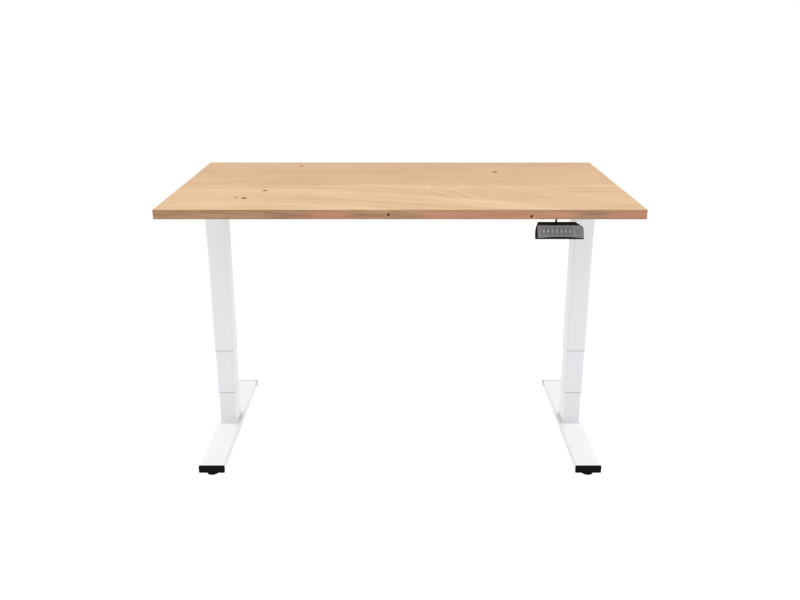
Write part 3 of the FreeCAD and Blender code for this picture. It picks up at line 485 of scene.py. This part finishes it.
KEYS = ("down", "up", "one", "two", "three", "four", "store")
DIGITS = {"one": "1", "two": "2", "three": "3", "four": "4"}
TILT = math.radians(30)
OUT_OF_FACE = Vector((0, -math.cos(TILT), math.sin(TILT)))
KEY_FIELD = (-0.1052, -0.0170, -0.0088, 0.0122)
DIVIDER = -0.0120
DIVIDER_WIDE = 0.0010
DISPLAY = (-0.0090, 0.0090, -0.0115, 0.0115)
GLASS_FRAME = 0.0016


def front_middle(node):
    """Middle of the front of a node that leans back with the handset."""
    points = [vertex.co for vertex in nodes[node].data.vertices]
    front = max(point.dot(OUT_OF_FACE) for point in points) - 1e-5
    points = [point for point in points if point.dot(OUT_OF_FACE) > front]
    return Vector([(min(p[i] for p in points) + max(p[i] for p in points)) / 2 for i in range(3)])


SHELL_ROUND = 0.0004
FACE_ROUND = 0.0002
KEY_ROUND = 0.00035
bm = joined_copy("handset_housing")
ease(bm, SHELL_ROUND)
stand_in(solid("handset_shell", bm, polymer), "handset_housing", "top")


def on_face(point):
    """Position across the handset's face and up it, from the middle of the display."""
    away = point.node("VectorMath", {"operation": "SUBTRACT"},
                      {0: point, 1: tuple(front_middle("handset_display"))})
    return away.axis("X"), away.axis("Y") * math.sin(TILT) + away.axis("Z") * math.cos(TILT)


overlay, spot = new_finish("grey_overlay", Specular_IOR_Level=0.35)
grit = spot.noise(1500.0, 2.0, 0.6)
along, up = on_face(spot)
left, right, bottom, top = KEY_FIELD
field = along.within(left, right, 0.0004) * up.within(bottom, top, 0.0004)
line = along.within(DIVIDER - DIVIDER_WIDE / 2, DIVIDER + DIVIDER_WIDE / 2, 0.0002)
grey = spot.mix(spot.noise(25.0, 2.0), shade(134, 134, 135), shade(141, 141, 142))
grey = spot.mix(field * 0.7, grey, shade(108, 108, 109))
grey = spot.mix(line * 0.5, grey, shade(176, 176, 176))
varies(overlay, Base_Color=grey, Roughness=0.38 + grit * 0.16, Normal=spot.bump(grit, 0.00004, 0.5))
bm = joined_copy("handset_face")
ease(bm, FACE_ROUND)
stand_in(solid("handset_overlay", bm, overlay), "handset_face", "top")

glass, spot = new_finish("display_window", Roughness=0.12, Specular_IOR_Level=0.4)
along, up = on_face(spot)
left, right, bottom, top = DISPLAY
inside = (along.within(left + GLASS_FRAME, right - GLASS_FRAME, 0.0003)
          * up.within(bottom + GLASS_FRAME, top - GLASS_FRAME, 0.0003))
smoke = spot.mix(inside, shade(158, 158, 158), shade(128, 128, 129))
varies(glass, Base_Color=smoke)
coat(glass, "handset_display")

key_paint, spot = new_finish("grey_key", Specular_IOR_Level=0.35)
grit = spot.noise(1700.0, 2.0, 0.6)
along, up = on_face(spot)
# painted light: each key is painted a little lighter towards its top
painted_light_up_key = up.rise(-0.012, 0.014)
varies(key_paint, Base_Color=spot.mix(painted_light_up_key, shade(130, 130, 131), shade(140, 140, 141)),
       Roughness=0.4 + grit * 0.16, Normal=spot.bump(grit, 0.00004, 0.5))
sign_ink, spot = new_finish("pale_sign_ink", Roughness=0.6)
speck = spot.noise(3000.0, 2.0)
varies(sign_ink, Base_Color=spot.mix(speck, shade(196, 196, 194), shade(206, 206, 204)))

# signs: two arrows, four digits and a ring, printed on the middle of the keys
SIGN_TALL = 0.0074
SIGN_THICK = 0.00006
TEXT_SIZE = 1.4 * SIGN_TALL
TEXT_BOLDER = 0.0001
RING_RADIUS = 0.32 * SIGN_TALL
RING_WALL = 0.0005
RING_STEPS = 32
for key in KEYS:
    bm = joined_copy(key + "_key")
    ease(bm, KEY_ROUND)
    stand_in(solid(key + "_cap", bm, key_paint), key + "_key", key + "_button")

    bm = bmesh.new()
    if key in DIGITS:
        letter = bpy.data.curves.new(key + "_letter", "FONT")
        letter.body = DIGITS[key]
        letter.size = TEXT_SIZE
        letter.offset = TEXT_BOLDER
        letter.extrude = SIGN_THICK / 2
        letter.align_x = "CENTER"
        letter.align_y = "CENTER"
        bm.from_mesh(bpy.data.objects.new(key + "_letter", letter).to_mesh())
        bmesh.ops.remove_doubles(bm, verts=bm.verts, dist=1e-6)
    elif key == "store":
        corners = [bm.verts.new((RING_RADIUS + across * RING_WALL, 0, up * SIGN_THICK / 2))
                   for across, up in ((-1, -1), (1, -1), (1, 1), (-1, 1))]
        section = bm.faces.new(corners)
        geometry = [section] + list(section.edges) + list(section.verts)
        bmesh.ops.spin(bm, geom=geometry, axis=(0, 0, 1), cent=(0, 0, 0), angle=math.tau, steps=RING_STEPS,
                       use_merge=True)
        inner_walls = [face for face in bm.faces if abs(face.normal.y) > 0.999
                       and abs(face.calc_center_median().y) < 1e-6]
        bmesh.ops.delete(bm, geom=inner_walls, context="FACES")
    else:
        bmesh.ops.create_circle(bm, cap_ends=True, segments=3, radius=SIGN_TALL / 2)
        bmesh.ops.translate(bm, vec=(0, 0, -SIGN_THICK / 2), verts=bm.verts)
        raised = bmesh.ops.extrude_face_region(bm, geom=bm.faces[:])["geom"]
        bmesh.ops.translate(bm, vec=(0, 0, SIGN_THICK),
                            verts=[part for part in raised if isinstance(part, bmesh.types.BMVert)])
        if key == "down":
            bmesh.ops.rotate(bm, cent=(0, 0, 0), matrix=Matrix.Rotation(math.pi, 3, "Z"), verts=bm.verts)
    place = Matrix.Translation(front_middle(key + "_key") + OUT_OF_FACE * SIGN_THICK / 2)
    bm.transform(place @ Matrix.Rotation(math.pi / 2 - TILT, 4, "X"))
    sign = solid(key + "_sign", bm, sign_ink)
    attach(sign, key + "_button")
